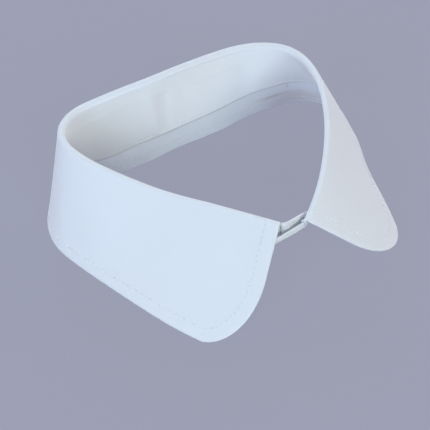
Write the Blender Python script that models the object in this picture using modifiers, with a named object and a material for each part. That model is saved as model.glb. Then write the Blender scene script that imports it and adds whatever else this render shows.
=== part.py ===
# Detachable shirt collar: a turned-down fall with rounded points over a stand that ends in two narrow tabs.
# It stands by itself on the fall's lower edge, as a closed loop.
# Metres, +Z up. The front of the collar is towards -Y and the wearer's right is towards -X.
# The origin is the middle of the footprint, on the surface that the collar stands on.
import math

import bpy
import numpy as np

MM = 0.001

# Driving dimensions, in millimetres
HALF_FOLD = 190.0        # fold line, from the centre back to a front end
WALL = 1.4               # made-up cloth of the fall and the stand
TAB_WALL = 1.2           # made-up cloth of the tabs
SEAM_GAP = 0.3           # air between two pieces at their seam
SEAM_DROP = 1.2          # straight part of the fall inside the roll, down to the seam
POINT_ALONG = 28.0       # length of a point's rounding along the lower edge
POINT_DOWN = 36.0        # length of a point's rounding along the front edge
ROLL_SOFTNESS = 0.5      # share of a wide roll's extra width that it is also taller

# Density of the modelled surface
COLUMN_STEP = 6.0        # longest step along the fold, in millimetres
COLUMN_TURN = 10.0       # largest turn of the fold line in one step, in degrees
POINT_COLUMNS = 8        # columns across a point's rounding
ROLL_ROWS = 7            # rows over the roll
LEAF_ROWS = 6            # rows down the fall's outer leaf
STAND_ROWS = 4           # rows down the stand
TAB_SECTIONS = 13        # sections along a tab
FOLD_STEPS = 760         # small steps that add up to the fold line's plan
TAB_STEPS = 48           # the same along a tab
SHARP_TURN = 40.0        # a sharper turn than this between two faces, in degrees, is left as an edge

# The collar along its fold line, in millimetres and degrees, one row for each station.
# along: distance from the centre back, towards the wearer's left
# heading: direction of the fold line seen from above, from +X
# height: top of the fold above the table
# roll: half the width of the rolled fold
# spread: how far the fall's lower edge stands outside the fold
# drift: how far that edge is pushed along the fold, towards the wearer's left
# stand: depth of the stand below its seam
# lean: how far the stand's lower edge stands outside the fold
STATION_COLUMNS = ("along", "heading", "height", "roll", "spread", "drift", "stand", "lean")
STATIONS = [
    (-190, 132, 43.5, 2.2, 52.0, 2.5, 7.5, -2.0),
    (-160, 131, 46.0, 2.2, 43.0, 5.0, 14.0, 0.0),
    (-130, 128, 49.0, 2.2, 33.5, 6.5, 22.0, 3.0),
    (-100, 122, 53.5, 2.2, 25.5, 4.0, 29.0, 5.0),
    (-80, 102, 56.5, 2.2, 22.5, 1.0, 33.0, 5.0),
    (-60, 40, 57.0, 2.2, 12.0, 0.0, 35.0, 2.0),
    (-40, 0, 57.0, 2.2, 0.5, 0.0, 36.0, -3.4),
    (0, 0, 57.0, 2.2, 1.2, 0.0, 36.0, -3.4),
    (40, -7, 56.0, 2.2, 2.0, 0.0, 35.5, -1.8),
    (60, -36, 55.0, 2.2, 10.0, 0.0, 35.0, 4.0),
    (80, -80, 54.0, 2.2, 26.5, -1.0, 34.0, 12.5),
    (100, -106, 53.5, 2.2, 25.0, -5.0, 29.0, 10.0),
    (130, -122, 52.0, 2.2, 27.5, -12.0, 22.0, 5.0),
    (160, -133, 47.5, 2.6, 34.5, -19.0, 14.0, 0.0),
    (190, -147, 41.0, 4.2, 48.5, -25.5, 5.5, -4.2),
]

# The tabs, in millimetres and degrees, from the seam with the stand to the free end.
# along: distance from the seam; heading: direction seen from above; top: height of the upper edge
# depth: height of the tab there
TAB_COLUMNS = ("along", "heading", "top", "depth")
RIGHT_TAB = [
    (0.0, -24, 39.8, 7.2),
    (4.0, 0, 39.6, 4.6),
    (8.0, 18, 39.3, 3.8),
    (10.5, 30, 39.0, 3.4),
    (12.5, 38, 38.6, 2.6),
]
LEFT_TAB = [
    (0.0, -156, 36.3, 4.8),
    (6.0, -172, 37.1, 3.6),
    (11.0, -184, 37.0, 2.9),
    (15.5, -194, 36.4, 2.3),
]

COTTON = {
    "fall": ((0.80, 0.83, 0.88), 0.78),
    "stand": ((0.76, 0.79, 0.83), 0.80),
    "right_tab": ((0.74, 0.77, 0.80), 0.82),
    "left_tab": ((0.75, 0.78, 0.81), 0.82),
}


def clear_scene():
    for item in list(bpy.data.objects):
        bpy.data.objects.remove(item, do_unlink=True)


def cotton(name):
    colour, roughness = COTTON[name]
    material = bpy.data.materials.new(name + "_cotton")
    material.use_nodes = True
    shader = material.node_tree.nodes["Principled BSDF"]
    shader.inputs["Base Color"].default_value = (*colour, 1.0)
    shader.inputs["Roughness"].default_value = roughness
    shader.inputs["Metallic"].default_value = 0.0
    return material


def smooth(at, places, values):
    """Soft curve through the rows of a table: cubic pieces whose slopes meet at each row."""
    places, values = np.asarray(places, float), np.asarray(values, float)
    slopes = np.gradient(values, places)
    row = np.clip(np.searchsorted(places, at) - 1, 0, len(places) - 2)
    width = places[row + 1] - places[row]
    t = (at - places[row]) / width
    start = values[row] * (1 + 2 * t) * (1 - t) ** 2 + values[row + 1] * t * t * (3 - 2 * t)
    return start + width * t * (1 - t) * (slopes[row] * (1 - t) - slopes[row + 1] * t)


def read_table(rows, names, at):
    """The named columns of a table, read at the distances in at."""
    table = dict(zip(names, zip(*rows)))
    return {name: smooth(at, table["along"], table[name]) for name in names[1:]}


def plan_curve(headings, step):
    """Points in plan of a line whose heading is known at even steps."""
    turned = np.radians(headings)
    runs = [(f(turned)[1:] + f(turned)[:-1]) / 2 * step for f in (np.cos, np.sin)]
    return np.array([np.concatenate([[0.0], np.cumsum(run)]) for run in runs]).T


def columns():
    """Distances along the fold: closer together where it turns and across the rounded points."""
    straight_end = HALF_FOLD - POINT_ALONG
    fine = np.linspace(-straight_end, straight_end, FOLD_STEPS + 1)
    heading = read_table(STATIONS, STATION_COLUMNS, fine)["heading"]
    effort = np.diff(fine) / COLUMN_STEP + np.abs(np.diff(heading)) / COLUMN_TURN
    effort = np.concatenate([[0.0], np.cumsum(effort)])
    middle = np.interp(np.linspace(0, effort[-1], math.ceil(effort[-1]) + 1), effort, fine)
    angles = np.linspace(0, math.pi / 2, POINT_COLUMNS + 1)[1:]
    point = straight_end + POINT_ALONG * np.sin(angles)
    return np.concatenate([-point[::-1], middle, point])


def fold_line(at):
    """The collar's measures at the distances in at, with the fold's plan place and directions."""
    line = read_table(STATIONS, STATION_COLUMNS, at)
    steps = np.linspace(-HALF_FOLD, HALF_FOLD, FOLD_STEPS + 1)
    headings = read_table(STATIONS, STATION_COLUMNS, steps)["heading"]
    path = plan_curve(headings, steps[1] - steps[0])
    path -= path[len(path) // 2]
    line["plan"] = np.array([np.interp(at, steps, path[:, axis]) for axis in (0, 1)]).T
    turned = np.radians(line["heading"])
    line["forward"] = np.array([np.cos(turned), np.sin(turned)]).T
    line["outward"] = np.array([-np.sin(turned), np.cos(turned)]).T
    line["rise"] = line["roll"].min() + ROLL_SOFTNESS * (line["roll"] - line["roll"].min())
    return line


def place(line, out, up, along=0.0):
    """Points beside the fold line: out from it, at a height, and moved along it."""
    plan = line["plan"] + line["outward"] * np.reshape(out, (-1, 1))
    plan = plan + line["forward"] * np.reshape(along * np.ones(len(plan)), (-1, 1))
    return np.column_stack([plan, up * np.ones(len(plan))])


def fall_surface(at):
    """Outer skin of the fall: up inside the roll, over it, and down the leaf to the lower edge."""
    line = fold_line(at)
    roll, rise, height = line["roll"], line["rise"], line["height"]
    middle = height - rise
    flat_spread = line["spread"] * rise / roll
    reach = np.hypot(flat_spread, middle)
    leave = np.arctan2(-middle, flat_spread) + np.arccos(rise / reach)
    rows = [place(line, -roll, middle - SEAM_DROP)]
    for share in np.linspace(0, 1, ROLL_ROWS):
        angle = math.pi + (leave - math.pi) * share
        rows.append(place(line, roll * np.cos(angle), middle + rise * np.sin(angle)))
    edge = place(line, line["spread"], 0.0, line["drift"])
    beyond = np.clip((np.abs(at) - (HALF_FOLD - POINT_ALONG)) / POINT_ALONG, 0, 1)
    cut = POINT_DOWN * (1 - np.sqrt(1 - beyond ** 2))
    top = rows[-1]
    kept = 1 - cut / np.linalg.norm(edge - top, axis=1)
    for share in np.linspace(0, 1, LEAF_ROWS + 1)[1:]:
        rows.append(top + (edge - top) * (share * kept)[:, None])
    return np.array(rows)


def stand_surface(at):
    """Neck side of the stand, from its seam under the roll to its free lower edge."""
    line = fold_line(at)
    top = line["height"] - line["rise"] - SEAM_DROP - SEAM_GAP
    shift = line["lean"] + line["roll"]
    drop = np.sqrt(line["stand"] ** 2 - shift ** 2)
    shares = np.linspace(0, 1, STAND_ROWS + 1)
    return np.array([place(line, -line["roll"] + shift * share, top - drop * share) for share in shares])


def tab_surface(rows, start, outward_sign):
    """Neck side of a tab that runs on from a front end of the stand."""
    length = rows[-1][0]
    steps = np.linspace(0, length, TAB_STEPS + 1)
    fine = read_table(rows, TAB_COLUMNS, steps)
    path = plan_curve(fine["heading"], steps[1] - steps[0])
    at = np.linspace(0, length, TAB_SECTIONS)
    line = read_table(rows, TAB_COLUMNS, at)
    first = np.radians(line["heading"][0])
    begin = start + SEAM_GAP * np.array([math.cos(first), math.sin(first)])
    plan = begin + np.array([np.interp(at, steps, path[:, axis]) for axis in (0, 1)]).T
    top = np.column_stack([plan, line["top"]])
    bottom = np.column_stack([plan, line["top"] - line["depth"]])
    surface = np.array([top, (top + bottom) / 2, bottom])
    return surface if outward_sign > 0 else surface[:, ::-1]


def wall(name, surface, thickness, side):
    """A closed wall of cloth: an open surface with Solidify, to one side of it."""
    rows, cols = surface.shape[:2]
    points = (surface.reshape(-1, 3) * MM).tolist()
    faces = []
    for row in range(rows - 1):
        for col in range(cols - 1):
            corner = row * cols + col
            faces.append((corner, corner + 1, corner + cols + 1, corner + cols))
    mesh = bpy.data.meshes.new(name)
    mesh.from_pydata(points, [], faces)
    piece = bpy.data.objects.new(name, mesh)
    collection.objects.link(piece)
    solid = piece.modifiers.new("cloth", "SOLIDIFY")
    solid.thickness = thickness * MM
    solid.offset = side
    solid.use_even_offset = True
    solid.use_rim = True
    mesh.materials.append(cotton(name))
    return piece


def make_mesh(piece):
    """Replaces a piece's live modifiers by the mesh that they give."""
    bpy.context.view_layer.update()
    evaluated = piece.evaluated_get(bpy.context.evaluated_depsgraph_get())
    mesh = bpy.data.meshes.new_from_object(evaluated)
    piece.modifiers.clear()
    piece.data = mesh
    mesh.name = piece.name
    return mesh


def level_edge(mesh, surface, edge_row, next_row):
    """Cuts an edge of a wall level: both its skins end there at the height of the modelled skin."""
    rows, cols = surface.shape[:2]
    for skin in (0, rows * cols):
        for col in range(cols):
            edge = mesh.vertices[skin + edge_row % rows * cols + col]
            inner = mesh.vertices[skin + next_row % rows * cols + col]
            level = surface[edge_row, col, 2] * MM
            edge.co += (inner.co - edge.co) * ((level - edge.co.z) / (inner.co.z - edge.co.z))
            edge.co.z = level


def centre_on_footprint(pieces):
    """Moves the collar so that the middle of its box stands on the origin."""
    points = np.array([vertex.co for piece in pieces for vertex in piece.data.vertices])
    middle = (points.min(axis=0) + points.max(axis=0)) / 2
    for piece in pieces:
        for vertex in piece.data.vertices:
            vertex.co.x -= middle[0]
            vertex.co.y -= middle[1]


clear_scene()
collection = bpy.data.collections.new("detachable_shirt_collar")
bpy.context.scene.collection.children.link(collection)

at = columns()
fall_skin = fall_surface(at)
stand_skin = stand_surface(at)
right_end = stand_skin[0, 0, :2]
left_end = stand_skin[0, -1, :2]

fall = wall("fall", fall_skin, WALL, -1)
stand = wall("stand", stand_skin, WALL, 1)
right_tab = wall("right_tab", tab_surface(RIGHT_TAB, right_end, -1), TAB_WALL, 1)
left_tab = wall("left_tab", tab_surface(LEFT_TAB, left_end, 1), TAB_WALL, 1)
pieces = [fall, stand, right_tab, left_tab]
for piece in pieces:
    make_mesh(piece)
level_edge(fall.data, fall_skin, -1, -2)
level_edge(stand.data, stand_skin, 0, 1)
centre_on_footprint(pieces)
for piece in pieces:
    piece.data.shade_smooth()
    piece.data.set_sharp_from_angle(angle=math.radians(SHARP_TURN))
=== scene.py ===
# Looks of a detachable shirt collar: white cotton with a rolled fold, seams, soft creases and stitches.
# Tables and sizes are in millimetres, and the meshes are in metres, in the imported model's frame.
import math

import bpy
import numpy as np
from mathutils import Matrix, Vector
from mathutils.bvhtree import BVHTree
from mathutils.kdtree import KDTree


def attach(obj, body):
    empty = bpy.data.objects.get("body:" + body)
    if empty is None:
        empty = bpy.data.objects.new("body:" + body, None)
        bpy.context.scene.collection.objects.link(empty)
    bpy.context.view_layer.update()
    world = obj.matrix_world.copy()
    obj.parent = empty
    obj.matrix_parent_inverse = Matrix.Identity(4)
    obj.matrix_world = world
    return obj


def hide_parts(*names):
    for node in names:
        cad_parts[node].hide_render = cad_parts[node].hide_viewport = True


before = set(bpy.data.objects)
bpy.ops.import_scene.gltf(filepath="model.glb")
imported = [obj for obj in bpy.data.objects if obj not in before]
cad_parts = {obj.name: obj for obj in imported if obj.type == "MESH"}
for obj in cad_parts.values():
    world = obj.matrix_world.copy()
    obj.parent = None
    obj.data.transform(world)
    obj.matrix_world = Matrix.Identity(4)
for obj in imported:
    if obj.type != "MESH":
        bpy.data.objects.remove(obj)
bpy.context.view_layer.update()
mm = 0.001
print("frame loaded")


# Camera, as the photograph looks at the collar
photoView = {
    "target": (-19.87, -13.1, 24.9),  # what the middle of the picture shows
    "azimuth": -27.2,                 # degrees, from straight in front towards the wearer's right
    "elevation": 49.4,
    "roll": -4.4,
    "distance": 422.4,
    "focal": 853.0,                   # in pixels of a frame this wide
    "frameWidth": 430,
}


def makeCamera(view):
    turn, lift, tilt = (math.radians(view[key]) for key in ("azimuth", "elevation", "roll"))
    back = Vector((math.sin(turn) * math.cos(lift), -math.cos(turn) * math.cos(lift), math.sin(lift)))
    side = Vector((math.cos(turn), math.sin(turn), 0.0))
    top = back.cross(side)
    right = side * math.cos(tilt) + top * math.sin(tilt)
    up = top * math.cos(tilt) - side * math.sin(tilt)
    data = bpy.data.cameras.new("photoCamera")
    data.sensor_width = 36.0
    data.lens = view["focal"] * data.sensor_width / view["frameWidth"]
    data.clip_start = 0.02
    data.clip_end = 20.0
    cameraObject = bpy.data.objects.new("photoCamera", data)
    place = Vector(view["target"]) * mm + back * view["distance"] * mm
    turnMatrix = Matrix((right, up, back)).transposed().to_4x4()
    cameraObject.matrix_world = Matrix.Translation(place) @ turnMatrix
    bpy.context.scene.collection.objects.link(cameraObject)
    bpy.context.scene.camera = cameraObject


makeCamera(photoView)
print("camera placed")


# Shader maths: a wire is one output socket, and an expression on wires adds the nodes that it needs
class Wire:
    def __init__(self, tree, socket=None):
        self.tree = tree
        self.socket = socket

    def add(self, kind, settings=None, sockets=None, out=0):   # any node at all, settings first
        node = self.tree.nodes.new(kind)
        for name, value in (settings or {}).items():
            setattr(node, name, value)
        for name, value in (sockets or {}).items():
            if isinstance(value, Wire):
                self.tree.links.new(value.socket, node.inputs[name])
            else:
                node.inputs[name].default_value = value
        return Wire(self.tree, node.outputs[out])

    def maths(self, operation, *values):
        return self.add("ShaderNodeMath", {"operation": operation}, dict(enumerate(values)))

    def __add__(self, other):
        return self.maths("ADD", self, other)

    def __radd__(self, other):
        return self.maths("ADD", other, self)

    def __sub__(self, other):
        return self.maths("SUBTRACT", self, other)

    def __rsub__(self, other):
        return self.maths("SUBTRACT", other, self)

    def __mul__(self, other):
        return self.maths("MULTIPLY", self, other)

    def __rmul__(self, other):
        return self.maths("MULTIPLY", other, self)

    def __truediv__(self, other):
        return self.maths("DIVIDE", self, other)

    def __rtruediv__(self, other):
        return self.maths("DIVIDE", other, self)

    def __neg__(self):
        return self.maths("MULTIPLY", self, -1.0)

    def sine(self):
        return self.maths("SINE", self)

    def bell(self, middle, width):   # 1 at the middle, falling softly to 0
        far = (self - middle) / width
        return self.maths("EXPONENT", -(far * far))

    def blend(self, low, high):   # two colours, mixed by this wire
        names = {"Factor": self, 6: low, 7: high}
        return self.add("ShaderNodeMix", {"data_type": "RGBA"}, names, out=2)


# White cotton: a plain weave with faint mottling, gathered a little along its stitches
cottonLook = {
    "weavePitch": 0.42,           # two neighbouring threads
    "weaveDepth": 0.035,
    "mottleSize": 17.0,
    "mottleShare": 0.22,
    "slubPitch": 2.6,             # uneven thicker threads
    "slubStretch": 12.5,          # their length against their width
    "slubDepth": 0.02,
    "weaveTint": 0.04,            # share of the mottling that follows the threads
    "slubTint": 0.1,
    "roughness": 0.84,
    "roughnessSpread": 0.08,
    "bumpStrength": 0.6,
    "sheen": 0.12,
    "sheenRoughness": 0.5,
    "puckerPitch": 1.9,           # of the cloth gathered by the stitches
    "puckerWidth": 1.7,
    "puckerDepth": 0.55,
    "edgeWidth": 0.80,            # of the shade along a free edge
    "specular": 0.25,
}
clothColours = {   # clean cloth, mottling, painted shade along a free edge, painted shade inside
    "fall": ((0.800, 0.822, 0.852), (0.765, 0.790, 0.825), (0.60, 0.62, 0.65), (0.60, 0.54, 0.50)),
    # the stand's cloth is a little lighter than the fall's: painted light on the inside of the collar
    "stand": ((0.825, 0.840, 0.855), (0.790, 0.805, 0.818), (0.30, 0.32, 0.33), (0.59, 0.58, 0.56)),
    "tab": ((0.770, 0.785, 0.800), (0.730, 0.745, 0.755), (0.60, 0.60, 0.60), (0.70, 0.69, 0.66)),
    "thread": ((0.860, 0.875, 0.890), (0.830, 0.845, 0.860), (0.83, 0.84, 0.86), (0.83, 0.84, 0.86)),
    # painted shade: the dark colour of the discs at the needle holes
    "needleHoleShade": ((0.500, 0.520, 0.550), (0.460, 0.480, 0.510), (0.30, 0.31, 0.33), (0.30, 0.31, 0.33)),
}


def cottonCloth(name, colours, look, stitchAt, edgeShade=0.0, paintedShadePlaces=()):
    material = bpy.data.materials.new(name)
    material.use_nodes = True
    tree = material.node_tree
    shader = tree.nodes["Principled BSDF"]
    start = Wire(tree)
    clean, mottled, shaded, paintedShade = ((*colour, 1.0) for colour in colours)
    place = start.add("ShaderNodeTexCoord", out=3)
    cloth = start.add("ShaderNodeAttribute", {"attribute_name": "clothPlace"}, out=1)
    split = start.add("ShaderNodeSeparateXYZ", sockets={0: cloth})
    along, down, inset = (Wire(tree, split.socket.node.outputs[axis]) for axis in range(3))

    turn = 2 * math.pi / look["weavePitch"]
    weave = (along * turn).sine() * (down * turn).sine()
    squeeze = 1 / look["slubStretch"]
    slubPlace = start.add("ShaderNodeCombineXYZ", sockets={0: along * squeeze, 1: down, 2: 0.0})
    slubSockets = {"Vector": slubPlace, "Scale": 1 / look["slubPitch"], "Detail": 2.0}
    slubs = start.add("ShaderNodeTexNoise", sockets=slubSockets)
    mottleScale = 1 / (look["mottleSize"] * mm)
    mottleSockets = {"Vector": place, "Scale": mottleScale, "Detail": 3.0, "Roughness": 0.55}
    mottle = start.add("ShaderNodeTexNoise", sockets=mottleSockets)

    puckerSockets = {"Vector": cloth, "Scale": 1 / look["puckerPitch"], "Detail": 1.0}
    puckers = start.add("ShaderNodeTexNoise", sockets=puckerSockets)
    gathered = inset.bell(stitchAt, look["puckerWidth"]) * puckers

    mottleMask = mottle * look["mottleShare"] * 2 + weave * look["weaveTint"] + slubs * look["slubTint"]
    colour = mottleMask.blend(clean, mottled)
    # painted shadow: a dark line along a free edge, for the shadow cast under it
    if edgeShade:
        colour = (inset.bell(0.0, look["edgeWidth"]) * edgeShade).blend(colour, shaded)
    inner = start.add("ShaderNodeAttribute", {"attribute_name": "neckSide"}, out=2)
    # painted shade: darker, warmer patches in listed places on the neck side
    for spot in paintedShadePlaces:
        reach = along.bell(spot["along"], spot["alongReach"]) * down.bell(spot["down"], spot["downReach"])
        colour = (reach * inner * spot["share"]).blend(colour, paintedShade)
    roughness = look["roughness"] + (mottle - 0.5) * look["roughnessSpread"]
    height = weave * look["weaveDepth"] + slubs * look["slubDepth"] + gathered * look["puckerDepth"]
    bumpSockets = {"Height": height, "Distance": mm, "Strength": look["bumpStrength"]}
    bump = start.add("ShaderNodeBump", sockets=bumpSockets)

    tree.links.new(colour.socket, shader.inputs["Base Color"])
    tree.links.new(roughness.socket, shader.inputs["Roughness"])
    tree.links.new(bump.socket, shader.inputs["Normal"])
    shader.inputs["Sheen Weight"].default_value = look["sheen"]
    shader.inputs["Sheen Roughness"].default_value = look["sheenRoughness"]
    shader.inputs["Specular IOR Level"].default_value = look["specular"]
    return material


# The fold line and the cloth that hangs from it, station by station from the wearer's right to the left
foldShape = {
    "halfLength": 190.0,
    "pathSteps": 761,             # along the fold, from which its plan is worked out
    "seamDrop": 1.2,              # straight part of the fall inside the roll
    "place": (-5.29, 61.16, 0.0),   # of the fold's middle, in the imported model's frame
    "pointAlong": 25.5,           # reach of a point's rounding
    "pointDown": 39.5,
    "rollSoftness": 0.5,          # how far a wide roll rises above a narrow one
    "columns": ("along", "heading", "height", "roll", "spread", "drift", "stand", "lean"),
    "stations": [
        (-190, 132, 43.4, 1.5, 50.1, 3.2, 7.5, -2.0),
        (-160, 131, 46.3, 1.5, 44.1, 5.0, 14.0, 0.0),
        (-130, 128, 47.9, 1.5, 34.5, 6.5, 22.0, 3.0),
        (-100, 122, 53.0, 1.5, 26.3, 4.0, 29.0, 5.0),
        (-80, 102, 55.8, 1.7, 22.2, 1.0, 33.0, 5.0),
        (-60, 41, 56.3, 2.0, 11.7, 0.0, 35.0, 0.8),
        (-40, 0, 55.3, 2.2, -0.6, 0.0, 35.7, -4.3),
        (-20, -6.4, 56.8, 2.2, -0.5, 0.0, 36.0, -3.6),
        (0, 0, 57.4, 2.2, 1.2, 0.0, 36.2, -3.2),
        (40, -7, 54.9, 2.2, 0.4, 0.0, 33.8, -2.3),
        (60, -35, 54.3, 2.1, 8.2, 0.0, 32.8, 3.4),
        (80, -80, 54.6, 1.8, 27.0, -1.0, 32.4, 14.2),
        (100, -106, 54.0, 1.5, 26.1, -5.0, 29.0, 10.0),
        (130, -122, 52.0, 1.5, 26.2, -12.0, 22.0, 5.0),
        (160, -133, 47.5, 1.6, 34.8, -18.6, 14.0, 0.0),
        (190, -147, 41.0, 2.0, 48.2, -22.2, 3.5, -2.6),
    ],
}


def smoothCurve(at, places, values):   # cubic pieces whose slopes meet at each row of a table
    places, values = np.asarray(places, float), np.asarray(values, float)
    slopes = np.gradient(values, places)
    row = np.clip(np.searchsorted(places, at) - 1, 0, len(places) - 2)
    width = places[row + 1] - places[row]
    t = (at - places[row]) / width
    ends = values[row] * (1 + 2 * t) * (1 - t) ** 2 + values[row + 1] * t * t * (3 - 2 * t)
    return ends + width * t * (1 - t) * (slopes[row] * (1 - t) - slopes[row + 1] * t)


def readTable(rows, names, at):
    table = dict(zip(names, zip(*rows)))
    return {name: smoothCurve(at, table["along"], table[name]) for name in names[1:]}


def planCurve(headings, step):
    turned = np.radians(headings)
    runs = [(wave(turned)[1:] + wave(turned)[:-1]) / 2 * step for wave in (np.cos, np.sin)]
    return np.array([np.concatenate([[0.0], np.cumsum(run)]) for run in runs]).T


def readFold(at, shape):
    line = readTable(shape["stations"], shape["columns"], at)
    steps = np.linspace(-shape["halfLength"], shape["halfLength"], shape["pathSteps"])
    headings = readTable(shape["stations"], shape["columns"], steps)["heading"]
    path = planCurve(headings, steps[1] - steps[0])
    path -= path[len(path) // 2]
    line["plan"] = np.array([np.interp(at, steps, path[:, axis]) for axis in (0, 1)]).T
    turned = np.radians(line["heading"])
    line["forward"] = np.array([np.cos(turned), np.sin(turned)]).T
    line["outward"] = np.array([-np.sin(turned), np.cos(turned)]).T
    narrow = line["roll"].min()
    line["rise"] = narrow + shape["rollSoftness"] * (line["roll"] - narrow)
    return line


def besideFold(line, out, up, along=0.0):
    plan = line["plan"] + line["outward"] * np.reshape(out, (-1, 1))
    plan = plan + line["forward"] * np.reshape(along * np.ones(len(plan)), (-1, 1))
    return np.column_stack([plan, up * np.ones(len(plan))])


def foldColumns(shape, step, pointSteps):   # even along the collar, finer round the points
    straightEnd = shape["halfLength"] - shape["pointAlong"]
    middle = np.linspace(-straightEnd, straightEnd, round(2 * straightEnd / step) + 1)
    point = straightEnd + shape["pointAlong"] * np.sin(np.linspace(0, math.pi / 2, pointSteps + 1)[1:])
    return np.concatenate([-point[::-1], middle, point])


# A shell of cloth: a grid of points on its right side, and what the thickness and the creases add
def gridNormals(grid):
    down, across = np.gradient(grid, axis=0), np.gradient(grid, axis=1)
    normal = np.cross(across, down)
    return normal / np.linalg.norm(normal, axis=2, keepdims=True)


def distanceTo(points, edge):
    tree = KDTree(len(edge))
    for index, point in enumerate(edge):
        tree.insert(point, index)
    tree.balance()
    flat = points.reshape(-1, 3)
    return np.array([tree.find(point)[2] for point in flat]).reshape(points.shape[:2])


def refineLine(points, step):
    points = np.asarray(points)
    run = np.concatenate([[0.0], np.cumsum(np.linalg.norm(np.diff(points, axis=0), axis=1))])
    at = np.linspace(0, run[-1], max(2, round(run[-1] / step) + 1))
    return np.array([np.interp(at, run, points[:, axis]) for axis in range(3)]).T


def softBell(values, middle, width):   # 1 at the middle, falling softly to 0
    return np.exp(-((values - middle) / width) ** 2)


def fadeIn(distance, start, width):   # 0 up to the start, and 1 from one width further on
    return np.clip((distance - start) / width, 0, 1)


def softCreases(along, down, creases):   # troughs and ridges that fade out at their ends
    height = np.zeros(along.shape)
    for x, y, angle, length, width, depth in creases:
        turn = math.radians(angle)
        run = (along - x) * math.cos(turn) + (down - y) * math.sin(turn)
        across = (down - y) * math.cos(turn) - (along - x) * math.sin(turn)
        height += depth * softBell(across, 0, width) * np.exp(-(2 * run / length) ** 4)
    return height


rippleForm = {
    "drifts": ((3.7, 0.9, 1), (8.3, 0.6, 2)),   # slowness, reach in radians, times the seed
    "swellSlowness": 5.1,
    "swellShare": 0.35,
}


def unevenWave(at, pitch, seed):   # a ripple whose pitch and height wander
    drift = sum(
        reach * np.sin(at / (pitch * slow) + times * seed) for slow, reach, times in rippleForm["drifts"])
    share = rippleForm["swellShare"]
    swell = 1 - share + share * np.sin(at / (pitch * rippleForm["swellSlowness"]) + 3 * seed)
    return swell * np.sin(2 * math.pi * at / pitch + drift)


def sewnRelief(along, down, inset, cloth):   # what stitches and seam do to the middle and to the thickness
    ripple = unevenWave(along + cloth["puckerSlant"] * down, cloth["puckerPitch"], cloth["puckerSeed"])
    ripple = ripple * cloth["puckerDepth"] * softBell(inset, cloth["stitchInset"], cloth["puckerReach"])
    trough = cloth["stitchTrough"] * softBell(inset, cloth["stitchInset"], cloth["stitchWidth"])
    swell = cloth["rimSwell"] * softBell(inset, cloth["swellInset"], cloth["swellWidth"])
    seam = cloth["seamTrough"] * softBell(down, down[0], cloth["seamWidth"])
    return ripple, swell - trough, seam


def roundedThickness(inset, thickness, least=0.05):   # a half-round edge, which keeps this share at its rim
    radius = thickness / 2
    close = np.clip(1 - inset / radius, 0, 1)
    return thickness * np.maximum(np.sqrt(1 - close ** 2), least)


def bothSides(middle, normal, thick):
    half = normal * thick[:, :, None] / 2
    return middle + half, middle - half


def gridQuads(rows, cols):
    index = np.arange(rows * cols).reshape(rows, cols)
    corners = [index[:-1, :-1], index[:-1, 1:], index[1:, 1:], index[1:, :-1]]
    return np.stack(corners, axis=-1).reshape(-1, 4)


def makeShell(name, front, rear, place, material):
    rows, cols = front.shape[:2]
    count = rows * cols
    index = np.arange(count).reshape(rows, cols)
    quads = gridQuads(rows, cols)
    border = np.concatenate([index[0, :], index[1:, -1], index[-1, -2::-1], index[-2:0:-1, 0]])
    after = np.roll(border, -1)
    rim = np.stack([border, border + count, after + count, after], axis=-1)
    faces = np.concatenate([quads, quads[:, ::-1] + count, rim])
    points = np.concatenate([front.reshape(-1, 3), rear.reshape(-1, 3)]) * mm
    a, b, c, d = (points[faces[:, corner]] for corner in range(4))
    volume = (a * np.cross(b, c)).sum() + (a * np.cross(c, d)).sum()
    if volume < 0:   # so that the faces point outwards
        faces = faces[:, ::-1]
    mesh = bpy.data.meshes.new(name)
    mesh.from_pydata(points.tolist(), [], faces.tolist())
    cloth = mesh.attributes.new("clothPlace", "FLOAT_VECTOR", "POINT")
    cloth.data.foreach_set("vector", np.concatenate([place.reshape(-1, 3)] * 2).ravel())
    neckSide = mesh.attributes.new("neckSide", "FLOAT", "POINT")
    neckSide.data.foreach_set("value", np.repeat([0.0, 1.0], count))
    mesh.materials.append(material)
    mesh.shade_smooth()
    mesh.set_sharp_from_angle(angle=math.radians(60))
    piece = bpy.data.objects.new(name, mesh)
    bpy.context.scene.collection.objects.link(piece)
    return piece


def profileRun(grid):   # distance down each column, from its first row
    steps = np.linalg.norm(np.diff(grid, axis=0), axis=2)
    return np.concatenate([np.zeros((1, grid.shape[1])), np.cumsum(steps, axis=0)])


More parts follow.
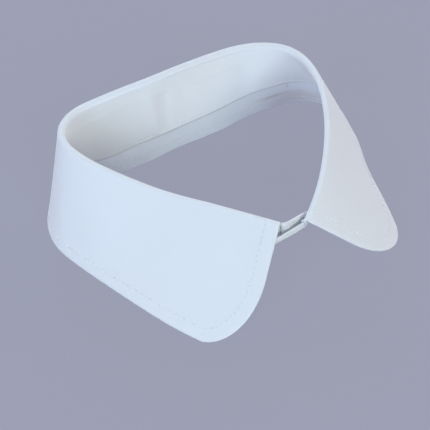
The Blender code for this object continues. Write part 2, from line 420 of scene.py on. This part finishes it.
# The fall: flap inside the roll, the roll, and the leaf down to the topstitched lower edge
fallCloth = {
    "thickness": 1.3,
    "columnStep": 0.95,
    "pointSteps": 56,
    "flapRows": 3,
    "rollRows": 14,
    "leafRows": 44,
    "edgeRows": (   # from the lower edge, close together at the rim and at the stitches
        0.0, 0.04, 0.14, 0.32, 0.6, 1.1, 1.8, 2.7, 3.6, 4.5,
        5.1, 5.5, 5.85, 6.2, 6.5, 6.8, 7.15, 7.6, 8.3, 9.3,
    ),
    "edgeStep": 0.25,             # between the points that stand for the edge
    "leafStart": 3.0,             # below the fold
    "stitchInset": 6.5,
    "stitchPitch": 2.9,
    "stitchTrough": 0.10,
    "stitchWidth": 0.6,
    "rimSwell": 0.12,             # of the turned-in edge
    "swellInset": 2.4,
    "swellWidth": 1.6,
    "puckerPitch": 4.2,
    "puckerDepth": 0.12,
    "puckerReach": 2.2,
    "puckerSlant": 0.5,
    "puckerSeed": 0.8,
    "seamTrough": 0.12,           # beside the seam under the roll
    "seamWidth": 0.7,
    "creaseFades": {"edge": (0, 4), "fold": (3, 8), "floor": (0, 6)},   # start and width of each
    # painted shade: a darker, browner patch in the back corner under the stand, a dark line across it, and a
    # small dark mark for the shade in a notch
    "paintedShadePlaces": [
        {"along": 70.0, "alongReach": 9.0, "down": 50.0, "downReach": 6.0, "share": 0.55},
        {"along": 63.0, "alongReach": 7.0, "down": 45.0, "downReach": 1.2, "share": 0.75},
        {"along": 68.5, "alongReach": 0.5, "down": 38.6, "downReach": 1.8, "share": 0.50},
    ],
    # along, down from the fold, angle, length, width, height
    "creases": [
        (-150, 30, 84, 46, 9.0, 0.35),
        (-118, 34, 97, 44, 7.0, -0.30),
        (-92, 40, 80, 40, 3.2, -0.22),
        (-84, 44, 101, 30, 2.6, 0.20),
        (-76, 38, 86, 44, 3.4, -0.28),
        (-64, 46, 94, 30, 3.0, 0.22),
        (-30, 36, 92, 40, 6.0, -0.25),
        (12, 30, 85, 46, 7.0, 0.22),
        (44, 38, 97, 40, 4.5, -0.25),
        (66, 42, 84, 40, 3.4, 0.26),
        (78, 36, 95, 46, 3.8, -0.28),
        (112, 30, 88, 50, 8.0, 0.30),
        (146, 36, 99, 40, 7.0, -0.30),
    ],
}


def leafShares(length, edgeRows, count):   # rows close together near the lower edge
    near = np.array(edgeRows)[::-1]
    inside = np.linspace(0, length - near[0], count + 1)[:-1]
    return np.concatenate([inside[1:], length - near])


def fallSkin(at, shape, cloth):
    line = readFold(at, shape)
    roll, rise, height = line["roll"], line["rise"], line["height"]
    middle = height - rise
    flatSpread = line["spread"] * rise / roll
    reach = np.hypot(flatSpread, middle)
    leave = np.arctan2(-middle, flatSpread) + np.arccos(rise / reach)
    rows = []
    for share in np.linspace(1, 0, cloth["flapRows"], endpoint=False):
        rows.append(besideFold(line, -roll, middle - shape["seamDrop"] * share))
    for share in np.linspace(0, 1, cloth["rollRows"]):
        angle = math.pi + (leave - math.pi) * share
        rows.append(besideFold(line, roll * np.cos(angle), middle + rise * np.sin(angle)))
    edge = besideFold(line, line["spread"], 0.0, line["drift"])
    beyond = (np.abs(at) - (shape["halfLength"] - shape["pointAlong"])) / shape["pointAlong"]
    cut = shape["pointDown"] * (1 - np.sqrt(1 - np.clip(beyond, 0, 1) ** 2))
    top = rows[-1]
    full = np.linalg.norm(edge - top, axis=1)
    shares = np.array([leafShares(span, cloth["edgeRows"], cloth["leafRows"]) / whole
                       for span, whole in zip(full - cut, full)])
    for share in shares.T:
        rows.append(top + (edge - top) * share[:, None])
    return np.array(rows)


def liftToFloor(grid, firstLeafRow):   # the wall's middle ends at the floor, not below it
    top = grid[firstLeafRow]
    low = grid[-1, :, 2]
    factor = np.where(low < 0, top[:, 2] / (top[:, 2] - low), 1.0)
    grid[firstLeafRow:] = top + (grid[firstLeafRow:] - top) * factor[None, :, None]


def makeFall(shape, cloth, shift, material):
    at = foldColumns(shape, cloth["columnStep"], cloth["pointSteps"])
    skin = fallSkin(at, shape, cloth) + shift
    normal = gridNormals(skin)
    middle = skin - normal * cloth["thickness"] / 2
    foldRow = cloth["flapRows"] + cloth["rollRows"] // 2
    firstLeafRow = cloth["flapRows"] + cloth["rollRows"] - 1
    liftToFloor(middle, firstLeafRow)
    edge = np.concatenate([middle[:, 0], middle[-1, 1:-1], middle[::-1, -1]])
    inset = distanceTo(middle, refineLine(edge, cloth["edgeStep"]))
    down = profileRun(middle)
    down = down - down[foldRow]
    along = np.repeat(at[None, :], len(middle), axis=0)

    fades = cloth["creaseFades"]
    free = fadeIn(inset, *fades["edge"]) * fadeIn(down, *fades["fold"])
    free = free * fadeIn(middle[:, :, 2], *fades["floor"])
    ripple, relief, seam = sewnRelief(along, down, inset, cloth)
    onLeaf = fadeIn(down, 0, cloth["leafStart"])
    lift = softCreases(along, down, cloth["creases"]) * free + ripple * onLeaf
    middle = middle + normal * lift[:, :, None]
    thick = roundedThickness(inset, cloth["thickness"]) + 2 * relief * onLeaf - 2 * seam
    front, rear = bothSides(middle, normal, thick)
    for side in (front, rear):
        side[:, :, 2] = np.maximum(side[:, :, 2], 0)   # flat where it stands
    place = np.stack([along, down, inset], axis=-1)
    piece = makeShell("fallCloth", front, rear, place, material)
    return piece, {"normal": normal, "middle": middle, "thick": thick, "leafRow": firstLeafRow}


# The stand: the inner band from the seam under the roll to its free, edge-stitched lower edge
standCloth = {
    "thickness": 1.2,
    "seamGap": 0.06,
    "solidGap": 0.3,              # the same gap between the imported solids, from which the depth is measured
    "columnStep": 1.15,
    "pointSteps": 30,
    "rows": 34,
    "edgeRows": (0.0, 0.04, 0.14, 0.32, 0.6, 0.95, 1.3, 1.7, 2.05, 2.4, 2.75, 3.1, 3.6, 4.4),
    "edgeStep": 0.25,
    "stitchInset": 3.0,
    "stitchPitch": 2.3,
    "stitchTrough": 0.12,
    "stitchWidth": 0.5,
    "rimSwell": 0.20,
    "swellInset": 1.2,
    "swellWidth": 0.8,
    "edgeShade": 0.95,
    "puckerPitch": 2.4,
    "puckerDepth": 0.13,
    "puckerReach": 1.6,
    "puckerSlant": -0.6,
    "puckerSeed": 2.1,
    "seamTrough": 0.12,
    "seamWidth": 0.7,
    "creaseFades": {"edge": (0, 4), "fold": (0, 5)},
    # painted shade with a warm tint of bounced light: the neck side darker at the left, in its left corner
    # and in the back right corner
    "paintedShadePlaces": [
        {"along": -45.0, "alongReach": 42.0, "down": 18.0, "downReach": 40.0, "share": 0.50},
        {"along": -76.0, "alongReach": 12.0, "down": 10.0, "downReach": 12.0, "share": 0.10},
        {"along": 72.0, "alongReach": 12.0, "down": 30.0, "downReach": 8.0, "share": 0.20},
    ],
    "creases": [
        (-76, 12, 6, 44, 1.8, -0.34),
        (-64, 7, 3, 52, 1.4, -0.30),
        (-74, 19, 10, 30, 2.2, 0.30),
        (-24, 7, 0, 60, 1.6, -0.16),
        (30, 8, -3, 46, 1.5, -0.20),
        (-46, 22, 96, 26, 5.0, 0.40),
        (-10, 20, 86, 34, 3.6, -0.80),
        (-3, 21, 93, 30, 3.6, 0.65),
        (18, 22, 80, 26, 6.0, -0.30),
        (48, 20, 97, 26, 6.0, 0.45),
        (74, 16, 88, 26, 6.0, -0.25),
        (104, 14, 93, 20, 6.0, 0.25),
        (-104, 14, 92, 20, 6.0, -0.25),
    ],
}


def standSkin(at, shape, cloth):
    line = readFold(at, shape)
    seam = line["height"] - line["rise"] - shape["seamDrop"]
    top = seam - cloth["seamGap"]
    slide = line["lean"] + line["roll"]
    drop = np.sqrt(line["stand"] ** 2 - slide ** 2) + cloth["solidGap"] - cloth["seamGap"]
    lengths = np.hypot(slide, drop)
    shares = np.array([leafShares(length, cloth["edgeRows"], cloth["rows"]) / length for length in lengths])
    shares = np.column_stack([np.zeros(len(at)), shares])
    rows = [besideFold(line, -line["roll"] + slide * share, top - drop * share) for share in shares.T]
    return np.array(rows)


def makeStand(shape, cloth, shift, material):
    at = foldColumns(shape, cloth["columnStep"], cloth["pointSteps"])
    skin = standSkin(at, shape, cloth) + shift
    normal = gridNormals(skin)
    middle = skin + normal * cloth["thickness"] / 2
    inset = distanceTo(middle, refineLine(middle[-1], cloth["edgeStep"]))
    down = profileRun(middle)
    along = np.repeat(at[None, :], len(middle), axis=0)

    fades = cloth["creaseFades"]
    free = fadeIn(inset, *fades["edge"]) * fadeIn(down, *fades["fold"])
    ripple, relief, seam = sewnRelief(along, down, inset, cloth)
    lift = softCreases(along, down, cloth["creases"]) * free + ripple
    middle = middle + normal * lift[:, :, None]
    thick = roundedThickness(inset, cloth["thickness"]) + 2 * (relief - seam)
    front, rear = bothSides(middle, normal, thick)
    place = np.stack([along, down, inset], axis=-1)
    piece = makeShell("standCloth", front, rear, place, material)
    return piece, {"normal": normal, "middle": middle, "thick": thick}


# The tabs: narrow tapered ends of the stand, the left one lapped outside the right one
tabCloth = {
    "thickness": 1.1,
    "seamGap": 0.06,
    "columns": ("along", "heading", "top", "depth"),
    "right": [
        (0.0, -34, 42.4, 10.5),
        (2.0, -4, 42.2, 9.8),
        (4.5, 10, 41.8, 8.9),
        (8.0, 14, 40.9, 7.8),
        (12.0, 12, 39.9, 6.6),
        (16.0, 2, 39.0, 4.4),
    ],
    "left": [
        (0.0, -176, 39.2, 3.7),
        (5.0, -178, 39.0, 4.0),
        (9.5, -178, 38.6, 3.7),
        (14.0, -177, 38.3, 3.3),
        (18.5, -178, 38.0, 2.8),
    ],
    "pathSteps": 49,
    "sections": 72,
    "rows": 26,
    "edgeStep": 0.1,
    "stitchInset": 1.0,
}


def easedShares(count):   # from 0 to 1, close together at both ends
    return (1 - np.cos(np.linspace(0, math.pi, count))) / 2


def tabSkin(rows, cloth, start, side):
    length = rows[-1][0]
    steps = np.linspace(0, length, cloth["pathSteps"])
    path = planCurve(readTable(rows, cloth["columns"], steps)["heading"], steps[1] - steps[0])
    at = length * easedShares(cloth["sections"])
    line = readTable(rows, cloth["columns"], at)
    first = math.radians(rows[0][1])
    begin = start + cloth["seamGap"] * np.array([math.cos(first), math.sin(first)])
    plan = begin + np.array([np.interp(at, steps, path[:, axis]) for axis in (0, 1)]).T
    levels = [line["top"] - line["depth"] * share for share in easedShares(cloth["rows"])]
    grid = np.array([np.column_stack([plan, level]) for level in levels])
    return (grid, at) if side > 0 else (grid[:, ::-1], at[::-1])


def makeTab(name, rows, cloth, start, side, shift, material):
    skin, at = tabSkin(rows, cloth, start, side)
    skin = skin + shift
    normal = gridNormals(skin)
    middle = skin + normal * cloth["thickness"] / 2
    freeEnd = middle[:, -1] if side > 0 else middle[:, 0]
    loops = [middle[0], middle[-1], freeEnd]
    edge = np.concatenate([refineLine(loop, cloth["edgeStep"]) for loop in loops])
    inset = distanceTo(middle, edge)
    front, rear = bothSides(middle, normal, roundedThickness(inset, cloth["thickness"]))
    along = np.repeat(at[None, :], len(middle), axis=0)
    place = np.stack([along, profileRun(middle), inset], axis=-1)
    return makeShell(name, front, rear, place, material)


shift = np.array(foldShape["place"])
fallCotton = cottonCloth(
    "fallCotton", clothColours["fall"], cottonLook, fallCloth["stitchInset"],
    paintedShadePlaces=fallCloth["paintedShadePlaces"])
standCotton = cottonCloth(
    "standCotton", clothColours["stand"], cottonLook, standCloth["stitchInset"], standCloth["edgeShade"],
    standCloth["paintedShadePlaces"])
tabCotton = cottonCloth("tabCotton", clothColours["tab"], cottonLook, tabCloth["stitchInset"])
fall, fallGrids = makeFall(foldShape, fallCloth, shift, fallCotton)
print("fall made")
stand, standGrids = makeStand(foldShape, standCloth, shift, standCotton)
print("stand made")
standTop = readFold(np.array([-foldShape["halfLength"], foldShape["halfLength"]]), foldShape)
standEnds = besideFold(standTop, -standTop["roll"], 0.0)[:, :2]
rightTab = makeTab("rightTabCloth", tabCloth["right"], tabCloth, standEnds[0], -1, shift, tabCotton)
leftTab = makeTab("leftTabCloth", tabCloth["left"], tabCloth, standEnds[1], 1, shift, tabCotton)
print("tabs made")


# Lockstitches along a path, by Geometry Nodes
stitchLook = {
    "lengthShare": 0.70,          # of the pitch
    "radius": 0.19,
    "lift": 0.07,                 # of the thread's middle above the cloth
    "unevenness": 4.0,            # degrees
    "seed": 7,
}
# painted shade: small dark discs between the stitches, for the shade in the dimples of the needle holes
needleHoleShade = {"lengthShare": 0.22, "radius": 0.22, "lift": -0.12, "unevenness": 0.0, "seed": 3}
rowPath = {"step": 1.0, "tangentPasses": 4, "pathPasses": 8}   # of smoothing, for a row's path


def stitchTree():
    tree = bpy.data.node_groups.new("stitchRow", "GeometryNodeTree")
    ports = tree.interface
    ports.new_socket("Geometry", in_out="INPUT", socket_type="NodeSocketGeometry")
    for name in ("Pitch", "Length", "Radius", "Unevenness"):
        ports.new_socket(name, in_out="INPUT", socket_type="NodeSocketFloat")
    ports.new_socket("Seed", in_out="INPUT", socket_type="NodeSocketInt")
    ports.new_socket("Thread", in_out="INPUT", socket_type="NodeSocketMaterial")
    ports.new_socket("Geometry", in_out="OUTPUT", socket_type="NodeSocketGeometry")
    inward = tree.nodes.new("NodeGroupInput")
    outward = tree.nodes.new("NodeGroupOutput")
    start = Wire(tree)
    given = {socket.name: Wire(tree, socket) for socket in inward.outputs if socket.name}
    curve = start.add("GeometryNodeMeshToCurve", sockets={0: given["Geometry"]})
    spacing = {"Curve": curve, "Length": given["Pitch"]}
    points = start.add("GeometryNodeCurveToPoints", {"mode": "LENGTH"}, spacing)
    tangent = Wire(tree, points.socket.node.outputs["Tangent"])
    turn = start.add("FunctionNodeAlignRotationToVector", {"axis": "X"}, {"Vector": tangent})
    swing = given["Unevenness"]
    least = start.add("ShaderNodeCombineXYZ", sockets={0: 0.0, 1: -swing, 2: -swing})
    most = start.add("ShaderNodeCombineXYZ", sockets={0: 0.0, 1: swing, 2: swing})
    jitterSockets = {"Min": least, "Max": most, "Seed": given["Seed"]}
    jitter = start.add("FunctionNodeRandomValue", {"data_type": "FLOAT_VECTOR"}, jitterSockets)
    turned = start.add("FunctionNodeRotateRotation", {"rotation_space": "LOCAL"}, {0: turn, 1: jitter})
    ball = start.add("GeometryNodeMeshUVSphere", sockets={"Segments": 6, "Rings": 5, "Radius": 1.0})
    halves = {0: given["Length"] / 2, 1: given["Radius"], 2: given["Radius"]}
    size = start.add("ShaderNodeCombineXYZ", sockets=halves)
    rowSockets = {"Points": points, "Instance": ball, "Rotation": turned, "Scale": size}
    row = start.add("GeometryNodeInstanceOnPoints", sockets=rowSockets)
    real = start.add("GeometryNodeRealizeInstances", sockets={0: row})
    smooth = start.add("GeometryNodeSetShadeSmooth", sockets={0: real})
    made = start.add("GeometryNodeSetMaterial", sockets={"Geometry": smooth, "Material": given["Thread"]})
    tree.links.new(made.socket, outward.inputs[0])
    return tree


def sewRows(name, paths, pitch, look, tree, thread):   # every path of one piece, as one plain mesh
    points, edges = [], []
    for path in paths:
        first = len(points)
        points += (np.asarray(path) * mm).tolist()
        edges += [(first + step, first + step + 1) for step in range(len(path) - 1)]
    mesh = bpy.data.meshes.new(name + "Path")
    mesh.from_pydata(points, edges, [])
    row = bpy.data.objects.new(name, mesh)
    bpy.context.scene.collection.objects.link(row)
    sewing = row.modifiers.new("sewing", "NODES")
    sewing.node_group = tree
    values = {
        "Pitch": pitch * mm,
        "Length": pitch * look["lengthShare"] * mm,
        "Radius": look["radius"] * mm,
        "Unevenness": math.radians(look["unevenness"]),
        "Seed": look["seed"],
        "Thread": thread,
    }
    for item in tree.interface.items_tree:
        if item.in_out == "INPUT" and item.name in values:
            sewing[item.identifier] = values[item.name]
    bpy.context.view_layer.update()
    evaluated = row.evaluated_get(bpy.context.evaluated_depsgraph_get())
    plain = bpy.data.meshes.new_from_object(evaluated)
    row.modifiers.clear()
    row.data = plain
    plain.name = name
    return row


def smoothed(values, passes):
    for _ in range(passes):
        values = np.vstack([values[:1], (values[:-2] + 2 * values[1:-1] + values[2:]) / 4, values[-1:]])
    return values


def nearestCell(surface, point, cols):
    place, _, face, _ = surface.find_nearest(Vector(point))
    return np.array(place), divmod(face, cols - 1)


def insetPath(grids, edge, inset):   # the edge moved inwards over the cloth, and the way up to the skin
    middle = grids["middle"]
    rows, cols = middle.shape[:2]
    surface = BVHTree.FromPolygons(middle.reshape(-1, 3).tolist(), gridQuads(rows, cols).tolist())
    line = refineLine(edge, rowPath["step"])
    tangent = smoothed(np.gradient(line, axis=0), rowPath["tangentPasses"])
    normals = np.array([grids["normal"][nearestCell(surface, point, cols)[1]] for point in line])
    inward = np.cross(tangent, normals)
    inward /= np.linalg.norm(inward, axis=1, keepdims=True)
    found = [nearestCell(surface, point + step * inset, cols) for point, step in zip(line, inward)]
    path = smoothed(np.array([place for place, _ in found]), rowPath["pathPasses"])
    normals = np.array([grids["normal"][cell] for _, cell in found])
    thick = np.array([[grids["thick"][cell]] for _, cell in found])
    return path, normals * thick / 2, normals


def laterStart(path, skipped):
    run = np.concatenate([[0.0], np.cumsum(np.linalg.norm(np.diff(path, axis=0), axis=1))])
    first = [np.interp(skipped, run, path[:, axis]) for axis in range(3)]
    return np.vstack([first, path[run > skipped]])


rowTree = stitchTree()
threadCotton = cottonCloth("threadCotton", clothColours["thread"], cottonLook, 0.0)
holeShadeCotton = cottonCloth("holeShadeCotton", clothColours["needleHoleShade"], cottonLook, 0.0)
leafRow, fallMiddle = fallGrids["leafRow"], fallGrids["middle"]
fallEdge = np.concatenate([fallMiddle[leafRow:, 0], fallMiddle[-1, 1:-1], fallMiddle[:leafRow:-1, -1]])
kinds = (("Stitches", stitchLook, threadCotton), ("NeedleHoleShades", needleHoleShade, holeShadeCotton))
sewn = {}
for name, grids, edge, pieceCloth in (
    ("fall", fallGrids, fallEdge, fallCloth),
    ("stand", standGrids, standGrids["middle"][-1], standCloth),
):
    path, toSkin, outwards = insetPath(grids, edge, pieceCloth["stitchInset"])
    pitch = pieceCloth["stitchPitch"]
    for kind, look, cotton in kinds:
        rows = [path + side * (toSkin + outwards * look["lift"]) for side in (1, -1)]
        if kind == "NeedleHoleShades":   # they lie between the stitches, as painted shade in the needle holes
            rows = [laterStart(row, pitch / 2) for row in rows]
        sewn[name + kind] = sewRows(name + kind, rows, pitch, look, rowTree, cotton)
print("stitches sewn")


# Everything rides on the one body, and each cloth piece hides the imported solid that it stands for
for piece, node, slot in (
    (fall, "fall", "fall_cotton"),
    (stand, "stand", "stand_cotton"),
    (rightTab, "right_tab", "right_tab_cotton"),
    (leftTab, "left_tab", "left_tab_cotton"),
):
    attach(piece, "root")
    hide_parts(node)
sewing = {}
for name, piece in sewn.items():
    node = "fall" if name.startswith("fall") else "stand"
    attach(piece, "root")
    node + "_cotton"
    sewing.setdefault(node, []).append(piece)
# A plain lilac-grey table and soft daylight
tableLook = {
    "size": 6.0,                  # metres
    "colour": (0.340, 0.354, 0.452),
    "glow": 0.88,                 # share that is the same in light and shade, as on a cut-out ground
    "diffuse": (0.36, 0.37, 0.46),
    "grainSize": 1.1,
    "grainShare": 0.12,
    "grainContrast": 0.1,         # of its darkest and lightest spots
}


def makeTable(look):
    half = look["size"] / 2
    mesh = bpy.data.meshes.new("table")
    corners = [(-half, -half, 0), (half, -half, 0), (half, half, 0), (-half, half, 0)]
    mesh.from_pydata(corners, [], [(0, 1, 2, 3)])
    table = bpy.data.objects.new("table", mesh)
    bpy.context.scene.collection.objects.link(table)
    material = bpy.data.materials.new("tableGround")
    material.use_nodes = True
    tree = material.node_tree
    tree.nodes.remove(tree.nodes["Principled BSDF"])
    start = Wire(tree)
    place = start.add("ShaderNodeTexCoord", out=3)
    grainSockets = {"Vector": place, "Scale": 1 / (look["grainSize"] * mm), "Detail": 2.0}
    grain = start.add("ShaderNodeTexNoise", sockets=grainSockets)
    mask = (grain - 0.5) * look["grainShare"] * 2 + 0.5
    factors = (1 - look["grainContrast"], 1 + look["grainContrast"])
    darker, lighter = ([channel * factor for channel in look["colour"]] + [1.0] for factor in factors)
    colour = mask.blend(darker, lighter)
    glow = start.add("ShaderNodeEmission", sockets={"Color": colour, "Strength": 1.0})
    matte = start.add("ShaderNodeBsdfDiffuse", sockets={"Color": (*look["diffuse"], 1.0)})
    both = start.add("ShaderNodeMixShader", sockets={0: 1 - look["glow"], 1: glow, 2: matte})
    tree.links.new(both.socket, tree.nodes["Material Output"].inputs["Surface"])
    mesh.materials.append(material)


daylight = {
    "sky": (0.15, 0.30, 1.0),
    "skyStrength": 0.02,
    "distance": 1.3,              # metres, of every lamp
    "size": 0.8,
    "lift": 28.0,                 # degrees above the table
    # name: direction, in degrees from the front towards the wearer's left, colour, power in watts
    "lamps": {
        "behindRight": (-150, (1.0, 0.94, 0.94), 5.1),
        "windowSide": (-70, (0.71, 0.82, 1.0), 10.3),
        "front": (0, (0.87, 1.0, 0.99), 9.3),
        "roomSide": (70, (1.0, 0.79, 0.82), 3.8),
        "roomBack": (110, (0.94, 0.98, 1.0), 4.8),
        "behind": (160, (0.65, 0.85, 1.0), 7.7),
    },
}


def makeLight(light):
    world = bpy.data.worlds.new("softSky")
    world.use_nodes = True
    background = world.node_tree.nodes["Background"]
    background.inputs["Color"].default_value = (*light["sky"], 1.0)
    background.inputs["Strength"].default_value = light["skyStrength"]
    bpy.context.scene.world = world
    lift = math.radians(light["lift"])
    for name, (turn, colour, power) in light["lamps"].items():
        data = bpy.data.lights.new(name, "AREA")
        data.shape = "DISK"
        data.size = light["size"]
        data.color = colour
        data.energy = power
        turn = math.radians(turn)
        towards = Vector((math.sin(turn) * math.cos(lift), -math.cos(turn) * math.cos(lift), math.sin(lift)))
        lamp = bpy.data.objects.new(name, data)
        lamp.location = towards * light["distance"]
        lamp.rotation_mode = "QUATERNION"
        lamp.rotation_quaternion = towards.to_track_quat("Z", "Y")
        bpy.context.scene.collection.objects.link(lamp)
    bpy.context.scene.view_settings.view_transform = "Standard"


makeTable(tableLook)
makeLight(daylight)
print("table and light made")
